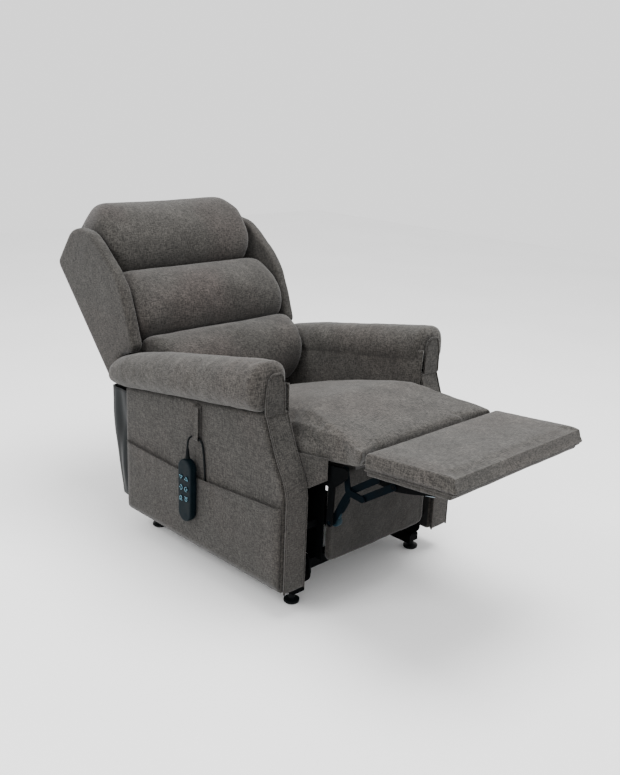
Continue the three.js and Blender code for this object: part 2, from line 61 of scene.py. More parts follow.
def corners(node):
    """The lowest and highest corner of a CAD node's box."""
    low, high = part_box(node)
    return Vector(low), Vector(high)


def middle(node):
    """The centre of a CAD node's box."""
    low, high = corners(node)
    return (low + high) / 2


def clamp(value, low=0.0, high=1.0):
    return max(low, min(high, value))


def interpolate(points, at):
    """A straight-line value from (place, value) points in rising order, held at both ends."""
    for (start, first), (end, last) in zip(points, points[1:]):
        if at <= end:
            share = max(0.0, (at - start) / (end - start))
            return first + (last - first) * share
    return points[-1][1]


# ---- camera
CAMERA_PLACE = (-1.7560, -1.8154, 1.2693)
CAMERA_TURN = {"azimuth": -44.866, "elevation": 17.374, "roll": 2.379}


def make_camera():
    azimuth, elevation, roll = (math.radians(angle) for angle in CAMERA_TURN.values())
    back = Vector((math.sin(azimuth) * math.cos(elevation),
                   -math.cos(azimuth) * math.cos(elevation), math.sin(elevation)))
    right = (-back).cross(Vector((0, 0, 1))).normalized()
    up = right.cross(-back)
    across = right * math.cos(roll) + up * math.sin(roll)
    upward = up * math.cos(roll) - right * math.sin(roll)
    data = bpy.data.cameras.new("camera")
    data.lens = 43.33
    data.sensor_width = 36
    camera = bpy.data.objects.new("camera", data)
    bpy.context.scene.collection.objects.link(camera)
    turn = Matrix((across, upward, back)).transposed().to_4x4()
    camera.matrix_world = Matrix.Translation(CAMERA_PLACE) @ turn
    bpy.context.scene.camera = camera


make_camera()


# ---- materials
class Look:
    """One material, its nodes added by short calls."""

    def __init__(self, name, **shader):
        self.material = bpy.data.materials.new(name)
        self.material.use_nodes = True
        self.tree = self.material.node_tree
        self.shader = self.tree.nodes["Principled BSDF"]
        for socket, value in shader.items():
            self.shader.inputs[socket.replace("_", " ")].default_value = value

    def node(self, kind, settings=None, **inputs):
        made = self.tree.nodes.new(kind)
        for key, value in (settings or {}).items():
            setattr(made, key, value)
        for socket, value in inputs.items():
            self.plug(value, made.inputs[socket.replace("_", " ")])
        return made

    def plug(self, value, socket):
        if isinstance(value, bpy.types.NodeSocket):
            self.tree.links.new(value, socket)
        else:
            socket.default_value = value

    def math(self, operation, a, b=0.0):
        made = self.node("ShaderNodeMath", {"operation": operation})
        self.plug(a, made.inputs[0])
        self.plug(b, made.inputs[1])
        return made.outputs[0]

    def mix(self, factor, a, b, blend="MIX"):
        made = self.node("ShaderNodeMix", {"data_type": "RGBA", "blend_type": blend})
        self.plug(factor, made.inputs[0])
        self.plug(a, made.inputs[6])
        self.plug(b, made.inputs[7])
        return made.outputs[2]

    def grain(self, stretch, detail=2.0, roughness=0.5):
        """Noise in the object's own metres, its scale given along each axis."""
        place = self.node("ShaderNodeTexCoord").outputs["Object"]
        mapped = self.node("ShaderNodeMapping", Vector=place, Scale=stretch)
        made = self.node("ShaderNodeTexNoise", Vector=mapped.outputs[0], Scale=1.0, Detail=detail,
                         Roughness=roughness)
        return made.outputs["Fac"]

    def ramp(self, value, *stops):
        made = self.node("ShaderNodeValToRGB", Fac=value)
        ramp = made.color_ramp
        while len(ramp.elements) < len(stops):
            ramp.elements.new(0.5)
        for element, (at, color) in zip(ramp.elements, stops):
            element.position = at
            element.color = (*color, 1) if hasattr(color, "__len__") else (color, color, color, 1)
        return made.outputs[0]

    def bump(self, height, strength, distance):
        made = self.node("ShaderNodeBump", Height=height, Strength=strength, Distance=distance)
        self.tree.links.new(made.outputs[0], self.shader.inputs["Normal"])

    def paint(self, socket, value):
        self.plug(value, self.shader.inputs[socket])
        return self.material


def chenille(name, base, warm, painted_light=1.0, cloud=0.5):
    """Woven chenille: slubbed yarns both ways, soft clouds of brushed pile, and two close hues. Its colour is
    scaled by painted_light, so each copy is painted lighter or darker as lit or shaded cloth.
    """
    look = Look(name, Roughness=0.95, Sheen_Weight=0.14, Sheen_Roughness=0.5, Specular_IOR_Level=0.12)
    normal = look.node("ShaderNodeTexCoord").outputs["Normal"]
    facing = look.node("ShaderNodeSeparateXYZ", Vector=normal)
    weights = [look.math("POWER", look.math("ABSOLUTE", axis), 4.0) for axis in facing.outputs]
    total = look.math("ADD", look.math("ADD", weights[0], weights[1]), weights[2])
    along, across = 80.0, 560.0  # how fine a yarn is along and across itself
    weave = 0.0
    for axis, weight in enumerate(weights):
        u, v = [i for i in range(3) if i != axis]
        for first, second in ((u, v), (v, u)):
            stretch = [1.0, 1.0, 1.0]
            stretch[first], stretch[second], stretch[axis] = along, across, 60.0
            yarn = look.grain(stretch, detail=1.0)
            weave = look.math("ADD", weave, look.math("MULTIPLY", yarn, weight))
    weave = look.math("DIVIDE", weave, look.math("MULTIPLY", total, 2.0))
    pile = look.grain((900, 900, 900), detail=1.0)
    height = look.math("ADD", weave, look.math("MULTIPLY", pile, 0.35))
    slub = look.grain((330, 330, 330), detail=2.0)
    mixed = look.math("ADD", look.math("MULTIPLY", weave, 0.7), look.math("MULTIPLY", slub, 0.3))
    contrast = look.ramp(mixed, (0.40, 0.42), (0.5, 1.0), (0.60, 1.72))
    clouds = look.grain((17, 17, 17), detail=4.0, roughness=0.62)
    brushed = look.ramp(clouds, (0.32, 1.0 - 0.24 * cloud), (0.52, 1.0), (0.70, 1.0 + 0.34 * cloud))
    drift = look.ramp(look.grain((4.2, 4.2, 4.2), detail=1.0), (0.42, 0.0), (0.62, 1.0))
    # painted light and shade: both hues scaled by painted_light
    lit = [tuple(channel * painted_light for channel in color) + (1,) for color in (base, warm)]
    color = look.mix(drift, *lit)
    color = look.mix(1.0, color, contrast, "MULTIPLY")
    color = look.mix(1.0, color, brushed, "MULTIPLY")
    look.bump(height, 0.55, 0.0016)
    return look.paint("Base Color", color)


def lining_cloth(name, color):
    """Thin plain-woven lining, its tint streaked lighter and darker as painted light and shade of creases."""
    look = Look(name, Roughness=0.85, Specular_IOR_Level=0.25, Sheen_Weight=0.15)
    weave = look.math("ADD", look.grain((700, 700, 120)), look.grain((120, 120, 700)))
    creases = look.grain((34, 34, 4), detail=3.0)
    # painted light and shade: long streaks from 0.7 to 2 times the colour
    tint = look.ramp(creases, (0.38, [c * 0.7 for c in color]), (0.66, [c * 2.0 for c in color]))
    look.bump(weave, 0.3, 0.0006)
    return look.paint("Base Color", tint)


def painted_steel(name, color, roughness, metallic=0.35):
    """Powder coat: fine orange peel, a little dust and a duller patch here and there."""
    look = Look(name, Metallic=metallic, Specular_IOR_Level=0.03)
    dust = look.grain((26, 26, 26), detail=5.0, roughness=0.7)
    tint = look.ramp(dust, (0.40, color), (0.75, [c * 2.0 + 0.0003 for c in color]))
    look.paint("Roughness", look.ramp(dust, (0.35, roughness), (0.7, roughness + 0.2)))
    look.bump(look.grain((520, 520, 520)), 0.18, 0.0004)
    return look.paint("Base Color", tint)


def zinc_plate(name):
    """Bright zinc: brushed streaks and cloudy passivation."""
    look = Look(name, Metallic=1.0)
    streaks = look.grain((60, 900, 900), detail=2.0)
    clouds = look.grain((70, 70, 70), detail=3.0)
    look.paint("Roughness", look.ramp(streaks, (0.3, 0.28), (0.7, 0.48)))
    look.bump(streaks, 0.12, 0.0003)
    tint = look.ramp(clouds, (0.35, (0.12, 0.15, 0.17)), (0.7, (0.30, 0.34, 0.37)))
    return look.paint("Base Color", tint)


def moulded_plastic(name, color, roughness=0.45):
    """Fine spark-eroded texture with faint handling marks."""
    look = Look(name, Specular_IOR_Level=0.08)
    marks = look.grain((45, 45, 45), detail=4.0)
    look.paint("Roughness", look.ramp(marks, (0.35, roughness), (0.7, roughness + 0.14)))
    look.bump(look.grain((1500, 1500, 1500)), 0.2, 0.0002)
    return look.paint("Base Color", look.ramp(marks, (0.3, color), (0.8, [c * 1.5 for c in color])))


def plywood(name):
    """Plywood kept near black as painted shade under the seat: long grain with soft growth bands."""
    look = Look(name, Roughness=0.7)
    bands = look.grain((38, 5, 200), detail=4.0, roughness=0.6)
    look.bump(bands, 0.15, 0.0004)
    # painted shade: near-black tint, the grain bands only a little lighter
    tint = look.ramp(bands, (0.3, (0.004, 0.003, 0.003)), (0.7, (0.010, 0.008, 0.007)))
    return look.paint("Base Color", tint)


def floor_paper():
    look = Look("floor_paper", Roughness=0.9)
    tone = look.grain((1.5, 1.5, 1.5), detail=1.0)
    return look.paint("Base Color", look.ramp(tone, (0.3, 0.90), (0.7, 0.93)))


def glowing_mark():
    # Printed icons with a painted glow: the print colour is also given as emission.
    look = Look("icon_print_painted_glow", Roughness=0.5, Emission_Strength=0.35)
    wear = look.grain((300, 300, 300))
    tint = look.ramp(wear, (0.3, (0.06, 0.15, 0.20)), (0.7, (0.11, 0.24, 0.30)))
    look.paint("Emission Color", tint)
    return look.paint("Base Color", tint)


GREY, WARM = (0.0352, 0.0330, 0.0300), (0.0366, 0.0330, 0.0298)
# Five copies of one chenille colour that differ in painted light and shade: the top copy painted lighter, the
# side, back and welt copies darker, and the kick board's copy darkest as painted shade. The back copy also
# has a warmer second hue.
SIDE_CLOTH = chenille("chenille_side", GREY, WARM, painted_light=0.80)
PAINTED_SHADE_CLOTH = chenille("chenille_shade", GREY, WARM, painted_light=0.40, cloud=0.7)
LIT_TOP_CLOTH = chenille("chenille_top", GREY, WARM, painted_light=1.08, cloud=0.8)
BACK_CLOTH = chenille("chenille_back", GREY, (0.0384, 0.0327, 0.0299), painted_light=0.88, cloud=0.7)
SHADED_WELT_CLOTH = chenille("chenille_welt", GREY, WARM, painted_light=0.72, cloud=0.3)
LINING = lining_cloth("lining", (0.0032, 0.0042, 0.0046))
# Lining cloth on faces inside and under the chair. Its near-black colour is painted shade for the dark
# interior.
BLACK_LINING_PAINTED_SHADE = lining_cloth("black_lining_painted_shade", (0.0010, 0.0012, 0.0014))
BLACK_STEEL = painted_steel("black_steel", (0.0008, 0.0010, 0.0012), 0.6, 0.0)
BLUE_STEEL = painted_steel("link_steel", (0.0003, 0.0015, 0.0026), 0.6, 0.0)
ZINC = zinc_plate("zinc_steel")
PLYWOOD = plywood("timber")
BLACK_PLASTIC = moulded_plastic("black_plastic", (0.0020, 0.0028, 0.0032))
BUSH_PLASTIC = moulded_plastic("bush_plastic", (0.004, 0.014, 0.020), 0.5)
HANDSET_PLASTIC = moulded_plastic("handset_plastic", (0.0008, 0.0035, 0.0052), 0.5)
BUTTON_RUBBER = moulded_plastic("button_rubber", (0.0015, 0.0060, 0.0085), 0.6)
CORD_SKIN = moulded_plastic("cord_skin", (0.0015, 0.0025, 0.0030), 0.5)
GLOWING_ICON_PRINT = glowing_mark()


# ---- making pieces
def place(name, data, material):
    piece = bpy.data.objects.new(name, data)
    bpy.context.scene.collection.objects.link(piece)
    data.materials.clear()
    data.materials.append(material)
    return piece


def mesh_piece(name, points, faces, material):
    data = bpy.data.meshes.new(name)
    data.from_pydata([tuple(point) for point in points], [], faces)
    data.validate()
    piece = place(name, data, material)
    data.shade_smooth()
    return piece


def double_sheet(name, across, up, place_point, material, flipped):
    """A thin closed cloth on a grid: place_point(layer, i, j) gives each point of its two layers."""
    points = [place_point(layer, i, j) for layer in (0, 1) for j in range(up + 1) for i in range(across + 1)]
    row, sheet = across + 1, (across + 1) * (up + 1)
    faces = []
    for j in range(up):
        for i in range(across):
            a = j * row + i
            quad = (a, a + 1, a + 1 + row, a + row)
            faces.append(quad)
            faces.append(tuple(index + sheet for index in reversed(quad)))
    rim = [j * row for j in range(up + 1)] + [up * row + i for i in range(1, across + 1)]
    rim += [j * row + across for j in range(up - 1, -1, -1)] + list(range(across - 1, 0, -1))
    for a, b in zip(rim, rim[1:] + rim[:1]):
        faces.append((a, b, b + sheet, a + sheet))
    if flipped:
        faces = [tuple(reversed(face)) for face in faces]
    return mesh_piece(name, points, faces, material)


def ring_faces(rings, count):
    """The faces of a closed body made of rings of count points each."""
    faces = []
    for ring in range(rings - 1):
        for k in range(count):
            a, b = ring * count + k, ring * count + (k + 1) % count
            faces.append((a, b, b + count, a + count))
    faces.append(tuple(reversed(range(count))))
    faces.append(tuple(range((rings - 1) * count, rings * count)))
    return faces


def settle(piece):
    """Turns a piece's modifiers into its mesh."""
    shaped = piece.evaluated_get(bpy.context.evaluated_depsgraph_get())
    data = bpy.data.meshes.new_from_object(shaped)
    piece.modifiers.clear()
    old = piece.data
    piece.data = data
    bpy.data.meshes.remove(old)
    data.shade_smooth()
    return piece


def modify(piece, kind, **settings):
    modifier = piece.modifiers.new(kind.lower(), kind)
    for key, value in settings.items():
        setattr(modifier, key, value)
    return modifier


def soft_copy(name, node, material, voxel, rounds, body):
    """A finely remeshed, softened copy of a CAD solid, in its place."""
    piece = place(name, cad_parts[node].data.copy(), material)
    modify(piece, "REMESH", mode="VOXEL", voxel_size=voxel)
    modify(piece, "SMOOTH", factor=0.5, iterations=rounds)
    settle(piece)
    piece.data.materials.clear()
    piece.data.materials.append(material)
    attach(piece, body)
    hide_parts(node)
    return piece


def move_points(piece, change):
    """Moves every vertex to change(point, normal)."""
    normals = [vertex.normal.copy() for vertex in piece.data.vertices]
    for vertex, normal in zip(piece.data.vertices, normals):
        vertex.co = change(vertex.co.copy(), normal)
    piece.data.update()


def puff(piece, pressure, cap, held, slack, calm=4):
    """Blows a cushion's cloth out by up to about cap, with the held points sewn down, then smooths it."""
    before = [vertex.co.copy() for vertex in piece.data.vertices]
    group = piece.vertex_groups.new(name="held")
    group.add([i for i, point in enumerate(before) if held(point)], 1.0, "REPLACE")
    cloth = modify(piece, "CLOTH")
    cloth.settings.use_pressure = True
    cloth.settings.uniform_pressure_force = pressure
    cloth.settings.effector_weights.gravity = 0
    cloth.settings.vertex_group_mass = "held"
    cloth.settings.shrink_min = -slack
    cloth.settings.quality = 4
    cloth.point_cache.frame_start = 1
    cloth.point_cache.frame_end = 20
    for number in range(1, 21):
        bpy.context.scene.frame_set(number)
    settle(piece)
    piece.vertex_groups.clear()
    for vertex, start in zip(piece.data.vertices, before):
        step = vertex.co - start
        if step.length > 1e-6:
            vertex.co = start + step * (cap * (1 - math.exp(-step.length / cap)) / step.length)
    bpy.context.scene.frame_set(1)
    modify(piece, "SMOOTH", factor=0.5, iterations=calm)
    settle(piece)


def ripple(point, size, seed):
    """Smooth noise from about -1 to 1, its bumps about size metres apart."""
    return noise.noise(point / size + Vector((seed * 7.3, seed * 3.1, seed * 5.7)))


def rounded(points, steps=8):
    """A smooth line through [a, b, corner size] points, its corners rounded off."""
    line = []
    for i, point in enumerate(points):
        here = Vector(point[:2])
        size = point[2] if len(point) > 2 else 0
        if not size or i in (0, len(points) - 1):
            line.append(here)
            continue
        before = (Vector(points[i - 1][:2]) - here).normalized() * size
        after = (Vector(points[i + 1][:2]) - here).normalized() * size
        for k in range(steps + 1):
            t = k / steps
            bend = (here + before) * (1 - t) ** 2 + here * 2 * t * (1 - t) + (here + after) * t ** 2
            line.append(bend)
    return line


def tube(name, points, radius, material, body):
    """A round cord or welt along a line of points."""
    data = bpy.data.curves.new(name, "CURVE")
    data.dimensions = "3D"
    data.bevel_depth = radius
    data.bevel_resolution = 3
    data.use_fill_caps = True
    spline = data.splines.new("POLY")
    spline.points.add(len(points) - 1)
    for made, point in zip(spline.points, points):
        made.co = (*point, 1)
    piece = place(name, data, material)
    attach(piece, body)
    return piece


def lathe(name, profile, where, material, body, axis="X", sides=24):
    """A turned piece: [along, radius] profile about an axis through a point."""
    points = []
    for along, radius in profile:
        for k in range(sides):
            angle = 2 * math.pi * k / sides
            points.append(Vector((along, radius * math.cos(angle), radius * math.sin(angle))))
    if axis == "Z":
        points = [Vector((-p.z, p.y, p.x)) for p in points]
    points = [point + Vector(where) for point in points]
    faces = [tuple(reversed(face)) for face in ring_faces(len(profile), sides)]
    piece = mesh_piece(name, points, faces, material)
    piece.data.set_sharp_from_angle(angle=math.radians(40))
    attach(piece, body)
    return piece


# ---- handset cord
CORD_ROUTE = [
    (-351, 47, 365), (-351, 47, 371), (-350.2, 47.4, 378), (-347.2, 48.4, 386), (-341.6, 47.4, 392.4),
    (-335.4, 43, 395.4), (-334.6, 36, 395.4), (-334.6, 27, 394.2), (-334.4, 19, 393.4), (-333.9, 11.5, 389.5),
    (-332.9, 6.2, 380), (-331.8, 4.4, 364), (-331.4, 1.2, 342), (-331.2, -1, 312), (-331.2, -2, 280),
    (-331.2, -2, 245), (-331.2, -2, 205), (-331.2, -2, 162.4),
]
CORD_DIAMETER = 0.0055


def smooth_route(points, steps=6):
    """A Catmull-Rom line through the points."""
    line = []
    for i in range(len(points) - 1):
        p0, p1, p2, p3 = (points[clamp(i + k, 0, len(points) - 1)] for k in (-1, 0, 1, 2))
        for k in range(steps):
            t = k / steps
            line.append(0.5 * (2 * p1 + (p2 - p0) * t + (2 * p0 - 5 * p1 + 4 * p2 - p3) * t ** 2
                               + (3 * p1 - p0 - 3 * p2 + p3) * t ** 3))
    line.append(points[-1])
    return line


def make_cord():
    line = smooth_route([Vector(point) * MM for point in CORD_ROUTE])
    cord = tube("handset_cord_skin", line, CORD_DIAMETER / 2, CORD_SKIN, "chassis")
    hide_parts("handset_cord")

    low, high = corners("cord_strain_relief")
    length, wide = high.z - low.z, (high.x - low.x) / 2
    tip, groove = CORD_DIAMETER * 0.62, 0.0009
    profile = [(0.0003, wide), (0.003, wide)]
    for ring in range(7):
        at = length * (0.12 + 0.12 * ring)
        radius = wide + (tip - wide) * at / length
        profile += [(at, radius), (at + 0.0018, radius)]
        profile += [(at + 0.0019, radius - groove), (at + 0.0034, radius - groove)]
    profile.append((length, tip))
    centre = middle("cord_strain_relief")
    relief = lathe("ribbed_strain_relief", profile, (centre.x, centre.y, low.z), CORD_SKIN, "handset",
                   axis="Z")
    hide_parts("cord_strain_relief")


make_cord()


# ---- arms
ARM_LOW, ARM_HIGH = corners("arm_panel_left")
FACING_LOW, FACING_HIGH = corners("arm_facing_left")
ROLL_LOW, ROLL_HIGH = corners("arm_roll_left")
ROLL_SEAM_SLOPE = -0.137
ROLL_SEAM_Y, ROLL_SEAM_Z = -0.0635, 0.5085  # the middle of the seam under each roll
ROLL_TOP_SLOPE = -0.19
ROLL_TOP_Z = 0.661  # height of the roll's top at its front end
ARCH_FACE = FACING_LOW.y + 0.080  # front of the upright facing under each roll


def seam_height(y):
    return ROLL_SEAM_Z + ROLL_SEAM_SLOPE * (y - ROLL_SEAM_Y)


def roll_top(y):
    return ROLL_TOP_Z + ROLL_TOP_SLOPE * (y - ROLL_LOW.y)


def front_line():
    """The arm's front edge from the bottom to the roll, as (y, z) points."""
    front, arch = FACING_LOW.y, ARCH_FACE
    knee, shoulder = (front, 0.352, 0.044), (front + 0.046, 0.432, 0.044)
    return rounded([(front, FACING_LOW.z), knee, shoulder, (arch, 0.524)])


def arch_line(side, y):
    """The rounded outline of the upright facing, up into the roll's front."""
    low, high, top = 0.270, 0.330, FACING_HIGH.z - 0.001
    outline = rounded([(low, 0.526), (low, 0.590, 0.034), (0.282, top, 0.012), (0.318, top, 0.012),
                       (high, 0.590, 0.034), (high, 0.526)])
    return [Vector((side * p.x, y, p.y)) for p in outline]


def make_arm(word, side):
    """One arm: the quilted side, the stuffed roll, the facing, and the welts along its edges."""
    panel = soft_copy(f"arm_side_{word}", f"arm_panel_{word}", SIDE_CLOTH, 0.006, 3,
                      "chassis")

    def quilt(point, normal):
        flat = abs(normal.x) ** 3
        near_seam = math.exp(-max(0.0, seam_height(point.y) - point.z) / 0.05)
        swell = 0.0010 * ripple(point, 0.11, 1) + 0.0008 * near_seam * ripple(point, 0.025, 2)
        return point + normal * flat * swell

    move_points(panel, quilt)
    # Inner faces low down and faces turned down get the near-black lining: painted shade.
    panel.data.materials.append(BLACK_LINING_PAINTED_SHADE)
    for face in panel.data.polygons:
        inner = face.normal.x * side < -0.7 and face.center.z < 0.40
        if inner or face.normal.z < -0.8:
            face.material_index = 1

    roll = soft_copy(f"arm_roll_cover_{word}", f"arm_roll_{word}", LIT_TOP_CLOTH, 0.006, 5,
                     "chassis")
    centre_x, reach = side * (ROLL_LOW.x + ROLL_HIGH.x) / 2, 0.026

    def shape_roll(point, normal):
        depth = clamp((ROLL_LOW.y + reach - point.y) / reach)
        centre = Vector((centre_x, point.y, (roll_top(point.y) + seam_height(point.y)) / 2))
        out = point - centre
        if depth > 0 and out.length > 1e-6:
            out *= 1 - (1 - math.sqrt(1 - depth ** 2)) * reach / max(out.length, 0.045)
        shaped = centre + out
        low = math.exp(-abs(point.z - seam_height(point.y)) / 0.018)
        swell = 0.0016 * ripple(point, 0.09, 3)
        swell += 0.0009 * ripple(Vector((point.x, point.y * 3, point.z)), 0.06, 4)
        swell += 0.0010 * low * ripple(Vector((0, point.y, 0)), 0.020, 5)
        return shaped + normal * swell

    def sewn(point):
        return point.z < seam_height(point.y) + 0.012 or point.y < ROLL_LOW.y + 0.012

    puff(roll, 3.0, 0.005, held=sewn, slack=0.005)
    move_points(roll, shape_roll)
    modify(roll, "SUBSURF", levels=1, render_levels=1)

    facing = soft_copy(f"arm_front_{word}", f"arm_facing_{word}", SIDE_CLOTH, 0.0032, 5,
                       "chassis")
    move_points(facing, lambda point, normal: point + normal * 0.0007 * ripple(point, 0.03, 6))

    for edge, x in (("outer", ARM_HIGH.x - 0.0015), ("inner", ARM_LOW.x + 0.0025)):
        line = [Vector((side * x, p.x + 0.0012, p.y)) for p in front_line()]
        tube(f"arm_welt_{edge}_{word}", line, 0.0027, SHADED_WELT_CLOTH, "chassis")
    arch = arch_line(side, ARCH_FACE + 0.0005)
    tube(f"arch_welt_{word}", arch, 0.0026, SHADED_WELT_CLOTH, "chassis")
    cross = [Vector((side * x * MM, ARCH_FACE - 0.0005, 0.5255)) for x in range(261, 330, 4)]
    tube(f"facing_seam_{word}", cross, 0.0016, SHADED_WELT_CLOTH, "chassis")


def make_inner_arm(word, side):
    """The arm's inner cover: it runs straight down from behind the roll to below the seat."""
    across, up = 90, 26
    start, end = ARCH_FACE + 0.0005, 0.335
    face, back = 0.2462, 0.2552
    front_turn, top_turn = 0.0095, 0.006

    def place_point(layer, i, j):
        y = start + (end - start) * i / across
        high = (roll_top(y) + seam_height(y)) / 2
        low = 0.452 - 0.15 * (y + 0.24)
        z = low + (high - low) * j / up
        pad = 0.0008 * ripple(Vector((0, y, z)), 0.07, 44) + 0.0010 * math.sin(math.pi * j / up)
        inner = face - pad + front_turn * max(0.0, 1 - (y - start) / 0.07) ** 2 + top_turn * (j / up) ** 3
        return Vector((side * (inner if layer else back), y, z))

    cover = double_sheet(f"inner_arm_cover_{word}", across, up, place_point, LIT_TOP_CLOTH, flipped=side < 0)
    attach(cover, "chassis")


for word, side in SIDES:
    make_arm(word, side)
    make_inner_arm(word, side)


# ---- side pocket and hanging loop
POCKET_LOW, POCKET_HIGH = corners("side_pocket")
POCKET_SIZE = POCKET_HIGH - POCKET_LOW
PANEL_FACE = -ARM_HIGH.x


def hem_height(y):
    """The pocket's mouth dips a little behind the handset and rises toward the front."""
    return interpolate([(-0.300, 0.302), (0.013, 0.280), (0.136, 0.279), (0.365, 0.286)], y)


def pocket_bulge(y, share):
    """How far the pocket stands off the arm: share runs from the bottom seam to the mouth."""
    ends = clamp(min(y - POCKET_LOW.y, POCKET_HIGH.y - y) / 0.02) ** 0.5
    mouth = 0.92 + 0.08 * share ** 2
    slack = 0.0010 * ripple(Vector((0, y * 2.2, share * 0.1)), 0.05, 7) * share
    return 0.0014 + (POCKET_SIZE.x - 0.0035) * ends * mouth + slack * ends


def make_pocket():
    """The side pocket: bellied cloth with a stitched line under its mouth, and a rolled hem."""
    across, up, thick = 150, 44, 0.0016

    def place_point(layer, i, j):
        y = POCKET_LOW.y + POCKET_SIZE.y * i / across
        share = clamp(j / up / 0.97)
        z = POCKET_LOW.z + 0.001 + (hem_height(y) - POCKET_LOW.z - 0.001) * j / up
        stitch = 0.0011 * math.exp(-((hem_height(y) - 0.024 - z) / 0.0022) ** 2)
        off = pocket_bulge(y, share) * min(1.0, (j + 0.6) / 3) + thick * (1 - layer) - stitch
        return Vector((PANEL_FACE - off, y, z))

    pocket = double_sheet("pocket_cloth", across, up, place_point, SIDE_CLOTH, flipped=True)
    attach(pocket, "chassis")
    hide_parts("side_pocket")

    hem = []
    for i in range(61):
        y = POCKET_LOW.y + POCKET_SIZE.y * i / 60
        hem.append(Vector((PANEL_FACE - pocket_bulge(y, 1.0) - 0.0012, y, hem_height(y) - 0.0005)))
    tube("pocket_hem_roll", hem, 0.0018, SIDE_CLOTH, "chassis")


def make_loop():
    """A folded strap: down from the roll seam, round the cord and back up, with a ridge along each edge."""
    low, high = corners("handset_loop")
    inset, step, bend = 0.0013, 0.004, 0.0040
    gap = (high.x - low.x) - 2 * inset
    path = [(high.x - inset, high.z - k * step) for k in range(int((high.z - low.z - bend) / step) + 1)]
    turn = []
    for k in range(11):
        angle = math.pi * k / 10
        across = high.x - inset - gap / 2 + gap / 2 * math.cos(angle)
        turn.append((across, low.z + inset + bend * (1 - math.sin(angle))))
    path = path + turn + [(low.x + inset, z) for _, z in reversed(path)]
    centre_y, half = middle("handset_loop").y, (high.y - low.y) / 2 * 1.2
    section = [(-1, 0.9), (-0.93, 1.5), (-0.8, 0.8), (-0.5, 0.75), (0, 0.8)]
    section += [(-across, thick) for across, thick in reversed(section[:-1])]
    ring = section + [(across, -thick) for across, thick in reversed(section)]
    points = []
    for i, (x, z) in enumerate(path):
        before, after = Vector(path[max(0, i - 1)]), Vector(path[min(len(path) - 1, i + 1)])
        along = (after - before).normalized()
        out = Vector((along.y, -along.x))
        pinch = 1 - 0.12 * math.exp(-((z - low.z) / 0.02) ** 2)
        for across, thick in ring:
            shift = out * thick * 0.0009
            points.append(Vector((x + shift.x, centre_y + across * half * pinch, z + shift.y)))
    loop = mesh_piece("loop_strap", points, ring_faces(len(path), len(ring)), SIDE_CLOTH)
    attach(loop, "chassis")
    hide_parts("handset_loop")


make_pocket()
make_loop()


# ---- kick board and seat skirts
SEAT_SLOPE = -0.1475
DECK_Y, DECK_Z = -0.430, 0.430  # a point on the underside of the seat cushion


def seat_underside(y):
    return DECK_Z + SEAT_SLOPE * (y - DECK_Y)


def make_kick_board():
    # The kick board's front uses the darkest chenille copy: painted shade under the seat.
    board = soft_copy("kick_board_cover", "kick_board", PAINTED_SHADE_CLOTH, 0.004, 4, "chassis")
    hem_x = corners("kick_board")[1].x - 0.020

    def dent(point, normal):
        front = max(0.0, -normal.y)
        hem = 0.0012 * math.exp(-((abs(point.x) - hem_x) / 0.002) ** 2)
        swell = 0.0022 * ripple(Vector((point.x * 1.6, 0, point.z)), 0.09, 8)
        swell += 0.0008 * ripple(point, 0.03, 9)
        return point + normal * front * (swell - hem)

    move_points(board, dent)
    # Faces turned back into the chair get the near-black lining: painted shade.
    board.data.materials.append(BLACK_LINING_PAINTED_SHADE)
    for face in board.data.polygons:
        if face.normal.y > 0.7:
            face.material_index = 1


def make_skirt(word, side):
    """The cloth beside the seat, loose in front of the kick board and flat behind it."""
    low, high = corners(f"seat_skirt_{word}")
    across, up, thick = 60, 40, 0.0014
    inner = min(abs(low.x), abs(high.x)) + 0.0007
    bend_y, bend_z = -0.315, 0.344

    def foot(y):
        if y < bend_y:
            return bend_z + 0.040 * (1 - min(1.0, (y - low.y) / (bend_y - low.y)))
        return bend_z + (y - bend_y) * 0.243

    def place_point(layer, i, j):
        y = low.y + (high.y - low.y) * i / across
        z = foot(y) + (seat_underside(y) + 0.019 - foot(y)) * j / up
        clear = clamp((-0.322 - y) / 0.03)
        folds = 0.0009 * ripple(Vector((0, y, z * 1.5)), 0.035, 10)
        bulge = 0.0006 * max(0.0, math.sin(math.pi * j / up)) ** 0.7
        tuck = -0.0012 * max(0.0, 1 - (y - low.y) / 0.012) ** 2
        return Vector((side * (inner + clear * (folds + bulge + tuck) + thick * layer), y, z))

    skirt = double_sheet(f"seat_side_cloth_{word}", across, up, place_point, SIDE_CLOTH, flipped=side > 0)
    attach(skirt, "seat_carriage")
    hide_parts(f"seat_skirt_{word}")


make_kick_board()
for word, side in SIDES:
    make_skirt(word, side)


